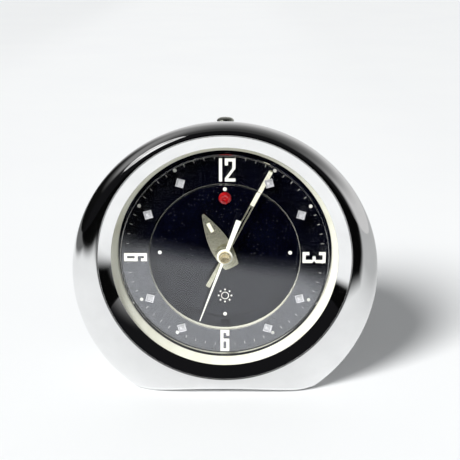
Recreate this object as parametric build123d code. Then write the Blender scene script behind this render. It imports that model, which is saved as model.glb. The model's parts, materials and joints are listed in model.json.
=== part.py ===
from build123d import *

import os
from math import acos, cos, pi, radians, sin, sqrt, tan

# Wind-up alarm clock with a round chromed case cut flat at the base.
# Everything is laid out in the face frame: origin on the dial's front surface at the hands' axis,
# x to the right, y up, z towards the person reading the clock, in millimetres.
# WORLD turns that frame upright: +Z up, the dial facing -Y, origin on the table under the case.

# ---- driving dimensions ------------------------------------------------------------------
AXIS_HEIGHT = 53.6          # hands' axis above the table
LIP_Z = 12.4                # front edge of the case
LIP_R = 47.7                # where the domed front begins
OPENING_R = 47.0            # hole in the case that the bezel fills
OUTLINE_R = 57.6            # largest outline of the case
OUTLINE_DROP = 7.1          # its centre below the hands' axis
OUTLINE_Z = 4.0
REAR_R = 52.4               # case outline at its rear edge
REAR_DROP = 10.9
REAR_Z = -31.6
WALL = 1.0
ARCH_HALF = 27.5            # raised stretch under the case
ARCH_RISE = 1.6
CORNER_R = 3.8
KEY_END_Z = -44.6           # rearmost point, the winding keys

DIAL_R = 43.0
DIAL_T = 0.6
CRYSTAL_FRONT = 9.4
CRYSTAL_BACK = 8.2          # under the thin centre and the rim
CRYSTAL_R = 43.4
BAND_BACK = 5.0             # under the thick band that carries the numerals
BAND_IN = 28.2
BAND_OUT = 38.8
PRINT_T = 0.1
MARKER_ANGLES = [a for a in range(0, 360, 30) if a % 90]
MARKER_R = 32.6             # square gems at the eight hours without a numeral
MARKER_SIDE = 3.0
MARKER_TOP = 1.1
MARKER_DEPTH = 0.9
INNER_DOT = (24.8, 0.72)    # distance from the axis, radius
OUTER_DOT = (36.7, 0.66)
TICK_IN, TICK_OUT = 36.2, 37.2
TICK_HALF = 0.07
NUMERAL_H = 8.6
STROKE = 1.15
ORNAMENT_Y = -17.3
ORNAMENT_R = 1.5
JEWEL_Y = 21.4
JEWEL_R = 2.4
FEET_ANGLES = (50, 170, 290)
FEET_R = 30.0

MINUTE_TIP = 37.0
MINUTE_HALF = 0.85
LUME_FROM = 22.0
HOUR_ANGLE = -332.3         # rest angles, anticlockwise from twelve
MINUTE_ANGLE = -27.6
SECOND_ANGLE = -200.4
ALARM_ANGLE = -326.0

PLATE_R = 36.0
FRONT_PLATE = (-6.2, -5.0)  # rear and front face
REAR_PLATE = (-25.2, -24.0)
PILLAR_R = 32.0
PILLAR_ANGLES = (5, 100, 180, 245)
SHORT_PILLAR = 100
HOLDER = (-1.62, -0.62)
HOLDER_R = 48.2
POST_R = 49.4
POST_ANGLES = (20, 160, 225, 315)
COVER = (-31.6, -30.8)
BOLT_R = 1.1                # threaded ends of the pillars
BOLT_HOLE = 1.15
BOLT_END = -33.8            # through the back cover
GONG_BOLT_END = -27.2       # the short one beside the regulator
ARBOR_R = 0.6
PIVOT_R = 0.35
FIT = 0.05                  # radial running clearance

BUTTON_Z = -17.0
BUTTON_TOP = 48.9
BUTTON_R = 3.3
SKIRT = 46.1
CUP_R = 3.9
CUP_FLOOR = 43.3
SPRING_WIRE = 0.2
CASE_SLOPE = 15.3           # the case's top falls away at this angle around the button
CASE_TOP = 46.42            # its height there
REGULATOR_R = 9.0           # finger tab's distance from the balance axis

# Gears: involute teeth, 25 degree pressure angle, stub addendum.
PRESSURE = radians(25)
ADDENDUM = 0.8
DEDENDUM = 1.0
BACKLASH = 0.07

MOTION_M = 0.35             # cannon pinion, minute wheel, hand-set pinion
HOUR_M = 0.336              # minute pinion, hour wheel
ALARM_M = 0.4               # alarm wheel and alarm train
GREAT_M = 0.45              # great wheel, centre pinion
TRAIN_M = 0.32              # centre wheel to third pinion, fourth wheel to escape pinion
THIRD_M = 14.4 * 2 / 85     # third wheel to fourth pinion, on the same centres

CENTRE = (0.0, 0.0)


def polar(radius, degrees, start=CENTRE):
    return (start[0] + radius * cos(radians(degrees)), start[1] + radius * sin(radians(degrees)))


MINUTE_WHEEL_AT = polar(8.4, 90)
HAND_SET_AT = polar(16.8, 90)
ALARM_SET_AT = polar(16.0, 10)
GREAT_AT = polar(15.75, 215)
THIRD_AT = polar(14.4, 150)
ESCAPE_AT = polar(14.4, 60)
PALLET_AT = polar(8.47, 60, ESCAPE_AT)
BALANCE_AT = polar(8.98, 60, PALLET_AT)
ALARM_GREAT_AT = (15.5, -12.0)
ALARM_ESCAPE_AT = polar(14.0, -110, ALARM_GREAT_AT)
HAMMER_AT = (3.5, -27.5)
BELL_AT = (4.0, -31.0)
HEAD_AT = (12.2, -31.0)

WORLD = Location((0, (KEY_END_Z + LIP_Z) / 2, AXIS_HEIGHT), (90, 0, 0))


# ---- small helpers -----------------------------------------------------------------------
def disc(radius, low, high, at=CENTRE):
    """Round bar along the hands' axis."""
    return Pos(at[0], at[1], (low + high) / 2) * Cylinder(radius, high - low)


def tube(outer, inner, low, high, at=CENTRE):
    return disc(outer, low, high, at) - disc(inner, low - 1, high + 1, at)


def turned(points, at=CENTRE):
    """Solid of revolution from (radius, z) points."""
    profile = make_face(Plane.XZ * Polyline(*points, close=True))
    return Pos(at[0], at[1], 0) * revolve(profile, Axis.Z)


def block(low, high):
    size = [high[i] - low[i] for i in range(3)]
    middle = [(high[i] + low[i]) / 2 for i in range(3)]
    return Pos(*middle) * Box(*size)


def plate(face, low, high):
    return Pos(0, 0, low) * extrude(face, amount=high - low)


def upright(radius, low, high, at_x, at_z):
    """Round bar along the face frame's y, which is up."""
    return Pos(at_x, (low + high) / 2, at_z) * Rot(90, 0, 0) * Cylinder(radius, high - low)


def save(name, shape):
    export_step(Compound(children=list((WORLD * shape).solids())), f"parts/{name}.step")


# ---- gears -------------------------------------------------------------------------------
def involute(angle):
    return tan(angle) - angle


def gear_face(teeth, module, phase=0.0):
    """Gear outline with one tooth centred at the angle phase, in degrees."""
    pitch_r = teeth * module / 2
    base_r = pitch_r * cos(PRESSURE)
    half = pi / (2 * teeth) - BACKLASH / (4 * pitch_r) + involute(PRESSURE)

    def flank(radius):
        return half - involute(acos(min(1.0, base_r / radius)))

    radii = [pitch_r - DEDENDUM * module, max(base_r, pitch_r - 0.55 * module), pitch_r,
             pitch_r + 0.45 * ADDENDUM * module, pitch_r + ADDENDUM * module]
    points = []
    for tooth in range(teeth):
        middle = radians(phase) + 2 * pi * tooth / teeth
        sides = [(r, -flank(r)) for r in radii] + [(r, flank(r)) for r in reversed(radii)]
        points += [(r * cos(middle + turn), r * sin(middle + turn)) for r, turn in sides]
    return make_face(Polyline(*points, close=True))


def mesh_phase(phase, teeth, other_teeth, bearing):
    """Phase of a gear in mesh with one whose phase and tooth count are given."""
    return bearing + 180 + 180 / other_teeth - (phase - bearing) * teeth / other_teeth


def crossings(rim, hub, width=1.6):
    """Windows between four spokes."""
    return Circle(rim) - Circle(hub) - Rectangle(2 * rim, width) - Rectangle(width, 2 * rim)


def gear(teeth, module, low, high, at, bore, phase=0.0, spoked=False):
    face = gear_face(teeth, module, phase) - Circle(bore)
    if spoked:
        rim = teeth * module / 2 - DEDENDUM * module - 1.1
        face -= Rot(0, 0, 45 + phase) * crossings(rim, bore + 1.4)
    return Pos(at[0], at[1], 0) * plate(face, low, high)


def arbor(at):
    """Spindle between the two plates, with a pivot in each."""
    return (disc(ARBOR_R, REAR_PLATE[1] + 0.15, FRONT_PLATE[0] - 0.15, at)
            + disc(PIVOT_R, REAR_PLATE[0] + 0.1, FRONT_PLATE[1] - 0.1, at))


# Phases that put every pair in mesh at rest.
CANNON_PHASE = 0.0
MINUTE_PHASE = mesh_phase(CANNON_PHASE, 12, 36, 90)
HAND_SET_PHASE = mesh_phase(MINUTE_PHASE, 36, 12, 90)
MINUTE_PINION_PHASE = 0.0
HOUR_PHASE = mesh_phase(MINUTE_PINION_PHASE, 10, 40, 270)
ALARM_WHEEL_PHASE = 0.0
ALARM_SET_PHASE = mesh_phase(ALARM_WHEEL_PHASE, 60, 20, 10)
FOURTH_PHASE = 0.0
THIRD_PHASE = mesh_phase(FOURTH_PHASE, 10, 75, 150)
THIRD_PINION_PHASE = 0.0
CENTRE_PHASE = mesh_phase(THIRD_PINION_PHASE, 10, 80, 330)
CENTRE_PINION_PHASE = 0.0
GREAT_PHASE = mesh_phase(CENTRE_PINION_PHASE, 10, 60, 215)
ESCAPE_PHASE = mesh_phase(FOURTH_PHASE, 80, 10, 60)
ALARM_GREAT_PHASE = 0.0
ALARM_ESCAPE_PHASE = mesh_phase(ALARM_GREAT_PHASE, 60, 10, -110)


# ---- case --------------------------------------------------------------------------------
def case_sections(inset):
    """Radius, drop and z of the circles that the case passes through, front to rear."""
    sections = []
    for step in range(7):
        turn = radians(15 * step)
        radius = LIP_R + (OUTLINE_R - LIP_R - inset) * sin(turn)
        depth = OUTLINE_Z + (LIP_Z - OUTLINE_Z - inset) * cos(turn)
        sections.append((radius, OUTLINE_DROP * sin(turn), depth))
    for step in range(1, 5):
        back = step / 4
        ease = back ** 1.5
        radius = OUTLINE_R - inset + (REAR_R - OUTLINE_R) * ease
        drop = OUTLINE_DROP + (REAR_DROP - OUTLINE_DROP) * ease
        sections.append((radius, drop, OUTLINE_Z + (REAR_Z - OUTLINE_Z) * back))
    return sections


def case_form(inset):
    return loft([Pos(0, -drop, z) * Circle(radius) for radius, drop, z in case_sections(inset)])


def base_cut(inset):
    """Everything above the arched base line, as a long prism."""
    floor = -AXIS_HEIGHT + inset
    corner_x = sqrt((OUTLINE_R - CORNER_R) ** 2 - (AXIS_HEIGHT - OUTLINE_DROP - CORNER_R) ** 2)
    centre = (corner_x + 0.1 - inset, floor + CORNER_R)
    low = (centre[0], floor)
    middle = polar(CORNER_R, -73, centre)
    end = polar(CORNER_R, -56, centre)
    far = polar(45, 34, end)
    right = [
        ThreePointArc((0, floor + ARCH_RISE), (ARCH_HALF * 0.5, floor + ARCH_RISE * 0.75),
                      (ARCH_HALF, floor)),
        Line((ARCH_HALF, floor), low),
        ThreePointArc(low, middle, end),
        Line(end, far),
        Line(far, (far[0], 70)),
        Line((far[0], 70), (0, 70)),
    ]
    left = [mirror(edge, Plane.YZ) for edge in right]
    face = make_face(Curve() + right + left)
    return plate(face, REAR_Z - 5, LIP_Z + 5)


CASE_SOLID = case_form(0.0) & base_cut(0.0)
CASE_INSIDE = case_form(WALL) & base_cut(WALL)
BUTTON_HOLE = upright(CUP_R + FIT, 40, 60, 0, BUTTON_Z)
CASE_ABOVE_CUP = CASE_SOLID - BUTTON_HOLE


def case_shell():
    shell = CASE_SOLID - CASE_INSIDE - disc(OPENING_R, 5, LIP_Z + 1)
    return shell - BUTTON_HOLE


def case_posts():
    posts = [disc(1.7, HOLDER[1], LIP_Z, polar(POST_R, a)) - disc(0.95, HOLDER[1], 3.6, polar(POST_R, a))
             for a in POST_ANGLES]
    return Compound(children=[(post & CASE_INSIDE).solids()[0] for post in posts])


def bezel_ring():
    cone = [(46.6, 12.1), (42.35, 9.72), (42.2, 9.6), (42.2, CRYSTAL_FRONT + 0.02)]
    under = [(43.7, CRYSTAL_FRONT + 0.02), (46.2, 10.9), (46.2, 7.6)]
    rim = [(46.9, 7.6), (46.9, 12.05), (46.75, 12.15)]
    return turned(rim + cone + under)


def crystal():
    glass = turned([(0, CRYSTAL_BACK), (BAND_IN, CRYSTAL_BACK), (BAND_IN, BAND_BACK),
                    (BAND_OUT, BAND_BACK), (BAND_OUT, CRYSTAL_BACK), (CRYSTAL_R, CRYSTAL_BACK),
                    (CRYSTAL_R, CRYSTAL_FRONT), (0, CRYSTAL_FRONT)])
    return glass - Compound(children=[facet_marker(a, 0.04) for a in MARKER_ANGLES])


def rehaut_ring():
    return turned([(39.9, 0), (40.0, 4.4), (42.7, CRYSTAL_BACK - 0.02), (46.1, CRYSTAL_BACK - 0.02),
                   (46.1, 7.2), (43.6, 7.2), (41.4, 4.2), (41.2, 0)])


# ---- dial --------------------------------------------------------------------------------
def facet_marker(degrees, grow=0.0):
    """Square gem with its diagonal along the radius, sunk into the back of the crystal."""
    at = polar(MARKER_R, degrees)
    base = Rot(0, 0, degrees + 45) * Rectangle(MARKER_SIDE + grow, MARKER_SIDE + grow)
    top = Rot(0, 0, degrees + 45) * Rectangle(MARKER_TOP + grow, MARKER_TOP + grow)
    low = BAND_BACK - (0.01 if grow else 0)
    return loft([Pos(at[0], at[1], low) * base, Pos(at[0], at[1], BAND_BACK + MARKER_DEPTH + grow) * top])


def hour_markers():
    return Compound(children=[facet_marker(a) for a in MARKER_ANGLES])


def dial_plate():
    sheet = disc(DIAL_R, -DIAL_T, 0)
    feet = [disc(0.8, FRONT_PLATE[0] + 0.1, -DIAL_T, polar(FEET_R, a)) for a in FEET_ANGLES]
    seat = disc(1.9, -0.25, 1, (0, JEWEL_Y))
    return sheet + feet - disc(2.35, -1, 1) - seat


def dial_marks():
    inner = [disc(INNER_DOT[1], 0, PRINT_T, polar(INNER_DOT[0], a)) for a in range(0, 360, 90)]
    outer = [disc(OUTER_DOT[1], 0, PRINT_T, polar(OUTER_DOT[0], a)) for a in MARKER_ANGLES]
    ticks = [Rot(0, 0, 6 * n) * block((TICK_IN, -TICK_HALF, 0), (TICK_OUT, TICK_HALF, PRINT_T))
             for n in range(60) if n % 5]
    band = tube(ORNAMENT_R, ORNAMENT_R - 0.28, 0, PRINT_T, (0, ORNAMENT_Y))
    dots = [disc(0.34, 0, PRINT_T, polar(ORNAMENT_R + 0.95, a, (0, ORNAMENT_Y))) for a in range(0, 360, 45)]
    return Compound(children=inner + outer + ticks + [band] + dots)


def dial_jewel():
    """Plain faceted red stone with a stub that sits in the dial."""
    girdle = Pos(0, JEWEL_Y, 0) * RegularPolygon(JEWEL_R, 16)
    table = Pos(0, JEWEL_Y, 1.0) * RegularPolygon(1.3, 16)
    return loft([girdle, table], ruled=True) + disc(1.8, -0.2, 0.05, (0, JEWEL_Y))


def bar(low_x, low_y, high_x, high_y):
    return Pos((low_x + high_x) / 2, (low_y + high_y) / 2) * Rectangle(high_x - low_x, high_y - low_y)


def digit_one():
    return bar(-STROKE / 2, 0, STROKE / 2, NUMERAL_H)


def digit_two(width):
    s, h, half = STROKE, NUMERAL_H, width / 2
    slant = Polyline((half - s, 4.9), (half, 4.9), (-half + s, s), (-half, s), close=True)
    return (bar(-half, 0, half, s) + make_face(slant) + bar(half - s, 4.8, half, h)
            + bar(-half, h - s, half, h) + bar(-half, h - 2.6, -half + s, h))


def digit_three(width):
    s, h, half = STROKE, NUMERAL_H, width / 2
    notch = Polyline((half + 0.1, h / 2 + 0.75), (half - 0.8, h / 2), (half + 0.1, h / 2 - 0.75), close=True)
    body = (bar(-half, 0, half, s) + bar(-half, h - s, half, h) + bar(half - s, 0, half, h)
            + bar(-half, 0, -half + s, 2.5) + bar(-half, h - 2.5, -half + s, h)
            + bar(-0.4, h / 2 - s / 2, half - 0.5, h / 2 + s / 2))
    return body - make_face(notch)


def digit_six(width):
    s, h, half = STROKE, NUMERAL_H, width / 2
    return (bar(-half, 0, -half + s, h) + bar(-half, h - s, half, h) + bar(half - s, h - 2.3, half, h)
            + bar(-half, 0, half, s) + bar(half - s, 0, half, 5.1) + bar(-half, 5.1 - s, half, 5.1))


def chapter_numerals():
    """Block numerals on the back of the crystal's thick band, tops outward."""
    foot = 29.0
    twelve = Pos(-1.5, foot) * digit_one() + Pos(2.0, foot) * digit_two(3.9)
    three = Rot(0, 0, -90) * Pos(0, foot) * digit_three(4.2)
    six = Pos(0, -foot - NUMERAL_H) * digit_six(3.4)
    nine = Rot(0, 0, 90) * Pos(0, foot + NUMERAL_H) * Rot(0, 0, 180) * digit_six(3.2)
    return plate(twelve + three + six + nine, BAND_BACK - PRINT_T, BAND_BACK)


# ---- hands -------------------------------------------------------------------------------
def hand(face, low, high, angle):
    return Rot(0, 0, angle) * plate(face, low, high)


def mirrored_face(right_edges):
    return make_face(Curve() + right_edges + [mirror(edge, Plane.YZ) for edge in right_edges])


def hour_hand():
    side = Spline((2.9, -5.6), (3.85, 0.5), (3.75, 5.5), (2.6, 11.0), (0.62, 17.2))
    tail = ThreePointArc((0, -5.95), (1.5, -5.87), (2.9, -5.6))
    tip = ThreePointArc((0.62, 17.2), (0.4, 17.5), (0, 17.62))
    leaf = mirrored_face([tail, side, tip]) - Circle(1.77)
    window = Pos(0, 11.8) * Rectangle(1.34, 3.74)
    return hand(leaf - window, 2.0, 2.3, HOUR_ANGLE) + tube(2.5, 1.77, 2.3, 2.6)


def hour_hand_lume():
    return hand(Pos(0, 11.8) * Rectangle(1.3, 3.7), 2.02, 2.38, HOUR_ANGLE)


def minute_hand():
    half = MINUTE_HALF
    tip = ThreePointArc((half, MINUTE_TIP - half), (half * 0.707, MINUTE_TIP - 0.29 * half), (0, MINUTE_TIP))
    edges = [Line((0, -14.2), (0.9, -14.2)), Line((0.9, -14.2), (0.62, -2.0)),
             Line((0.62, -2.0), (half, 6.0)), Line((half, 6.0), (half, MINUTE_TIP - half)), tip]
    blade = mirrored_face(edges) + Circle(3.6) - Circle(1.37)
    window = bar(-0.6, LUME_FROM, 0.6, MINUTE_TIP - 0.8) + bar(-0.3, 5.5, 0.3, LUME_FROM - 0.8)
    return hand(blade - window, 3.3, 3.65, MINUTE_ANGLE) + tube(2.2, 1.37, 3.65, 4.0)


def minute_hand_lume():
    """Paste that fills the window and stands over its rim."""
    plug = hand(bar(-0.58, LUME_FROM + 0.02, 0.58, MINUTE_TIP - 0.82), 3.32, 3.65, MINUTE_ANGLE)
    over = bar(-0.78, LUME_FROM - 0.2, 0.78, MINUTE_TIP - 0.6)
    return plug + hand(over, 3.65, 3.76, MINUTE_ANGLE)


def second_hand():
    edges = [Line((0, -15.0), (1.0, -15.0)), Line((1.0, -15.0), (0.75, -2.0)),
             Line((0.75, -2.0), (0.55, 2.0)), Line((0.55, 2.0), (0.2, 27.4)), Line((0.2, 27.4), (0, 27.4))]
    needle = mirrored_face(edges) + Circle(2.8) - Circle(0.52)
    return hand(needle, 5.4, 5.7, SECOND_ANGLE) + tube(1.1, 0.52, 4.6, 5.4)


def second_hand_cap():
    return turned([(0, 6.35), (0.3, 6.35), (1.5, 7.15), (1.75, 7.3), (2.05, 7.2), (2.2, 6.9), (2.2, 5.72),
                   (0.52, 5.72), (0.52, 6.22), (0, 6.22)])


def alarm_hand():
    edges = [Line((0, -4.0), (0.6, -4.0)), Line((0.6, -4.0), (0.9, 6.0)), Line((0.9, 6.0), (0.2, 13.5)),
             Line((0.2, 13.5), (0, 13.5))]
    return hand(mirrored_face(edges) + Circle(3.0) - Circle(2.17), 0.9, 1.15, ALARM_ANGLE)


# ---- motion work behind the dial ---------------------------------------------------------
def cannon_pinion():
    return gear(12, MOTION_M, -4.5, -3.6, CENTRE, 1.0, CANNON_PHASE) + tube(1.35, 1.0, -4.5, 4.2)


def minute_wheel():
    bore = 0.6 + FIT
    return (gear(36, MOTION_M, -4.4, -3.7, MINUTE_WHEEL_AT, bore, MINUTE_PHASE)
            + gear(10, HOUR_M, -3.7, -2.6, MINUTE_WHEEL_AT, bore, MINUTE_PINION_PHASE))


def hour_wheel():
    return gear(40, HOUR_M, -3.4, -2.9, CENTRE, 1.4, HOUR_PHASE) + tube(1.75, 1.4, -3.4, 2.65)


def alarm_wheel():
    return (gear(60, ALARM_M, -2.2, -1.6, CENTRE, 1.8, ALARM_WHEEL_PHASE, spoked=True)
            + tube(2.15, 1.8, -2.2, 1.5))


def set_arbor(at, teeth, module, low, high, phase):
    spindle = disc(0.75, -42.0, high + 0.2, at)
    collar = tube(1.6, 0.7, FRONT_PLATE[0] - 1.2, FRONT_PLATE[0] - 0.3, at)
    return spindle + collar + gear(teeth, module, low, high, at, 0.7, phase)


def knob(at, radius, grips):
    """Turned finger knob with a scalloped rim."""
    body = turned([(0.75, -35.5), (radius * 0.55, -35.5), (radius * 0.55, -37.5), (radius, -38.2),
                   (radius, -42.2), (radius - 0.6, -42.8), (0, -42.8), (0, -42.0), (0.75, -42.0)], at)
    flutes = [disc(0.45, -43, -38, polar(radius + 0.2, 360 * n / grips, at)) for n in range(grips)]
    return body - flutes


# ---- plates and frame --------------------------------------------------------------------
def pivot_holes(low, high, rear):
    pivots = [THIRD_AT, ESCAPE_AT, PALLET_AT, BALANCE_AT, ALARM_ESCAPE_AT]
    holes = [disc(PIVOT_R + FIT, low, high, at) for at in pivots]
    holes += [disc(0.75 + FIT, low, high, at) for at in (HAND_SET_AT, ALARM_SET_AT)]
    holes += [disc(BOLT_HOLE, low, high, polar(PILLAR_R, a)) for a in PILLAR_ANGLES]
    wind = 1.8 if rear else 1.2
    holes += [disc(wind + FIT, low, high, at) for at in (GREAT_AT, ALARM_GREAT_AT)]
    holes.append(disc((ARBOR_R if rear else PIVOT_R) + FIT, low, high, HAMMER_AT))
    holes.append(disc((0.5 if rear else 0.95) + FIT, low, high, CENTRE))
    return holes


def front_plate():
    low, high = FRONT_PLATE
    feet = [disc(0.85, low - 1, high + 1, polar(FEET_R, a)) for a in FEET_ANGLES]
    post = disc(0.6, high, -2.5, MINUTE_WHEEL_AT)
    return disc(PLATE_R, low, high) - pivot_holes(low - 1, high + 1, False) - feet + post


def rear_plate():
    low, high = REAR_PLATE
    window = disc(5.0, low - 1, high + 1, polar(22, 125))
    boss = tube(1.15, PIVOT_R + FIT, low - 0.9, low, BALANCE_AT)
    bell_hole = disc(0.8, low - 1, high + 1, BELL_AT)
    return disc(PLATE_R, low, high) - pivot_holes(low - 1, high + 1, True) - window - bell_hole + boss


def plate_pillars():
    pillars = []
    for angle in PILLAR_ANGLES:
        at = polar(PILLAR_R, angle)
        end = GONG_BOLT_END if angle == SHORT_PILLAR else BOLT_END
        pillars.append(disc(2.0, REAR_PLATE[1], FRONT_PLATE[0], at) + disc(BOLT_R, end, HOLDER[1], at))
    return Compound(children=pillars)


def plate_spacers():
    return Compound(children=[tube(2.0, BOLT_HOLE, FRONT_PLATE[1], HOLDER[0], polar(PILLAR_R, a))
                              for a in PILLAR_ANGLES])


def hex_nut(at, low, high, across=4.4):
    nut = RegularPolygon(across / 2, 6, major_radius=False) - Circle(BOLT_HOLE)
    return Pos(at[0], at[1], 0) * plate(nut, low, high)


def plate_nuts():
    return Compound(children=[hex_nut(polar(PILLAR_R, a), -26.8, REAR_PLATE[0]) for a in PILLAR_ANGLES])


def movement_holder():
    low, high = HOLDER
    ring = tube(HOLDER_R, 30.0, low, high)
    ears = [disc(3.0, low, high, polar(POST_R, a)) for a in POST_ANGLES]
    holes = [disc(1.0, low - 1, high + 1, polar(POST_R, a)) for a in POST_ANGLES]
    holes += [disc(BOLT_HOLE, low - 1, high + 1, polar(PILLAR_R, a)) for a in PILLAR_ANGLES]
    feet = [disc(1.2, low - 1, high + 1, polar(FEET_R, a)) for a in FEET_ANGLES]
    return ring + ears - holes - feet


def slotted_screw(at, head_low, head_high, shank_high, head=1.7, shank=0.9):
    slot = block((at[0] - 2, at[1] - 0.2, head_low - 1), (at[0] + 2, at[1] + 0.2, head_low + 0.4))
    return disc(head, head_low, head_high, at) + disc(shank, head_high, shank_high, at) - slot


def holder_screws():
    return Compound(children=[slotted_screw(polar(POST_R, a), -2.8, HOLDER[0], 3.0) for a in POST_ANGLES])


# ---- going train -------------------------------------------------------------------------
def centre_wheel():
    tube_part = tube(0.95, 0.5 + FIT, -20.8, 3.0)
    wheel = gear(80, TRAIN_M, -7.4, -6.8, CENTRE, 0.9, CENTRE_PHASE, spoked=True)
    return tube_part + wheel + gear(10, GREAT_M, -20.3, -18.9, CENTRE, 0.9, CENTRE_PINION_PHASE)


def third_wheel():
    wheel = gear(75, THIRD_M, -22.0, -21.4, THIRD_AT, 0.5, THIRD_PHASE, spoked=True)
    return arbor(THIRD_AT) + wheel + gear(10, TRAIN_M, -7.6, -6.6, THIRD_AT, 0.5, THIRD_PINION_PHASE)


def seconds_arbor():
    pinion = gear(10, THIRD_M, -22.3, -21.1, CENTRE, 0.4, FOURTH_PHASE)
    return disc(0.5, REAR_PLATE[0] + 0.1, 6.2) + pinion


def fourth_wheel():
    return gear(80, TRAIN_M, -23.3, -22.7, CENTRE, 0.52, FOURTH_PHASE, spoked=True)


def saw_wheel(teeth, root, tip, lean, low, high, at, bore):
    """Escape or ratchet wheel: pointed teeth that lean by a share of their pitch."""
    points = []
    for tooth in range(teeth):
        points.append((root * cos(2 * pi * tooth / teeth), root * sin(2 * pi * tooth / teeth)))
        turn = 2 * pi * (tooth + lean) / teeth
        points.append((tip * cos(turn), tip * sin(turn)))
    face = make_face(Polyline(*points, close=True)) - Circle(bore)
    return Pos(at[0], at[1], 0) * plate(face, low, high)


def escape_wheel():
    wheel = saw_wheel(15, 4.6, 6.0, 0.85, -14.6, -14.0, ESCAPE_AT, 0.5)
    pinion = gear(10, TRAIN_M, -23.5, -22.5, ESCAPE_AT, 0.5, ESCAPE_PHASE)
    return arbor(ESCAPE_AT) + wheel + pinion


def pallet_lever():
    """Pin-pallet lever: two arms over the escape wheel and a fork towards the balance."""
    arms = [Rot(0, 0, side * 45) * bar(-0.5, 0, 0.5, 4.4) for side in (-1, 1)]
    towards_escape = Rot(0, 0, 150) * (arms[0] + arms[1])
    fork = Rot(0, 0, -30) * (bar(-0.5, 0, 0.5, 5.4) + bar(-1.3, 5.2, 1.3, 6.0)
                             + bar(-1.3, 5.2, -0.8, 7.2) + bar(0.8, 5.2, 1.3, 7.2))
    face = towards_escape + fork + Circle(1.2) - Circle(0.5)
    body = Pos(PALLET_AT[0], PALLET_AT[1], 0) * plate(face, -13.6, -13.1)
    pins = [disc(0.22, -14.5, -13.6, polar(4.1, 240 + side * 45, PALLET_AT)) for side in (-1, 1)]
    return arbor(PALLET_AT) + body + pins


def balance_wheel():
    rim = Circle(7.9) - Circle(6.9)
    arms = Rectangle(14.4, 1.2) + Circle(1.6) - Circle(0.5)
    wheel = Pos(BALANCE_AT[0], BALANCE_AT[1], 0) * plate(rim + arms, -11.6, -10.4)
    roller = tube(1.3, 0.5, -12.9, -12.3, BALANCE_AT)
    return arbor(BALANCE_AT) + wheel + roller


def spiral_strip(inner, outer, turns, thickness, low, high, at, per_turn=24):
    """Flat spiral spring."""
    count = int(turns * per_turn)
    radii = [inner + (outer - inner) * n / count for n in range(count + 1)]
    turn = 2 * pi / per_turn
    out = [((r + thickness) * cos(n * turn), (r + thickness) * sin(n * turn)) for n, r in enumerate(radii)]
    back = [(r * cos(n * turn), r * sin(n * turn)) for n, r in enumerate(radii)]
    face = make_face(Polyline(*(out + back[::-1]), close=True))
    return Pos(at[0], at[1], 0) * plate(face, low, high)


def hairspring():
    return spiral_strip(1.3, 4.6, 7, 0.12, -20.6, -20.2, BALANCE_AT)


def time_mainspring():
    return spiral_strip(3.2, 11.4, 9, 0.4, -17.6, -9.4, GREAT_AT)


def alarm_mainspring():
    return spiral_strip(3.2, 8.9, 7, 0.35, -17.6, -9.4, ALARM_GREAT_AT)


def great_wheel(at, module, phase):
    return gear(60, module, -20.0, -19.2, at, 2.0 + FIT, phase)


def click(at, degrees):
    """Pawl on the great wheel, its nose beside the ratchet."""
    post = polar(8.4, degrees, at)
    nose = polar(5.2, degrees + 38, at)
    length = sqrt((nose[0] - post[0]) ** 2 + (nose[1] - post[1]) ** 2)
    heading = Vector(nose[0] - post[0], nose[1] - post[1]).get_signed_angle(Vector(0, 1), Vector(0, 0, -1))
    pawl = Rot(0, 0, heading) * (Circle(1.2) + bar(-0.5, 0, 0.5, length))
    return Pos(post[0], post[1], 0) * plate(pawl, -19.2, -18.6)


def winding_arbor(at):
    spindle = (disc(1.2, FRONT_PLATE[0] + 0.1, FRONT_PLATE[1] - 0.1, at)
               + disc(2.0, -23.9, FRONT_PLATE[0] - 0.1, at) + disc(1.8, -36.8, -23.9, at))
    return spindle + saw_wheel(18, 3.7, 4.5, 0.85, -19.05, -18.2, at, 1.5)


def winding_key(at, tilt):
    """Wing key screwed on the squared end of the arbor."""
    hub = disc(2.9, KEY_END_Z + 1.4, -33.2, at) - disc(1.85, -36.9, -33, at)
    wing = SlotOverall(17.0, 7.6, rotation=0) - Pos(5.4, 0) * Circle(1.6) - Pos(-5.4, 0) * Circle(1.6)
    blade = Rot(0, 0, tilt) * Rot(90, 0, 0) * extrude(wing, amount=0.8, both=True)
    return hub + Pos(at[0], at[1], KEY_END_Z + 3.8) * blade


# ---- alarm -------------------------------------------------------------------------------
def alarm_escape_wheel():
    pinion = gear(10, ALARM_M, -20.3, -18.9, ALARM_ESCAPE_AT, 0.5, ALARM_ESCAPE_PHASE)
    return arbor(ALARM_ESCAPE_AT) + saw_wheel(12, 2.9, 4.0, 0.5, -12.6, -12.0, ALARM_ESCAPE_AT, 0.5) + pinion


def alarm_hammer():
    spindle = (disc(PIVOT_R, FRONT_PLATE[0] + 0.1, FRONT_PLATE[1] - 0.1, HAMMER_AT)
               + disc(ARBOR_R, -27.9, FRONT_PLATE[0] - 0.15, HAMMER_AT))
    towards = Vector(ALARM_ESCAPE_AT[0] - HAMMER_AT[0], ALARM_ESCAPE_AT[1] - HAMMER_AT[1])
    turn = towards.get_signed_angle(Vector(0, 1), Vector(0, 0, -1))
    verge = Pos(*HAMMER_AT) * Rot(0, 0, turn) * (bar(-0.8, 0, 0.8, 3.0) + Circle(1.4))
    reach = Vector(HEAD_AT[0] - HAMMER_AT[0], HEAD_AT[1] - HAMMER_AT[1])
    swing = reach.get_signed_angle(Vector(0, 1), Vector(0, 0, -1))
    rod = Pos(*HAMMER_AT) * Rot(0, 0, swing) * (bar(-0.5, 0, 0.5, reach.length) + Circle(1.3))
    head = disc(1.6, -27.5, -25.9, HEAD_AT)
    return spindle + plate(verge, -12.6, -12.0) + plate(rod, -27.3, -26.7) + head


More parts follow.
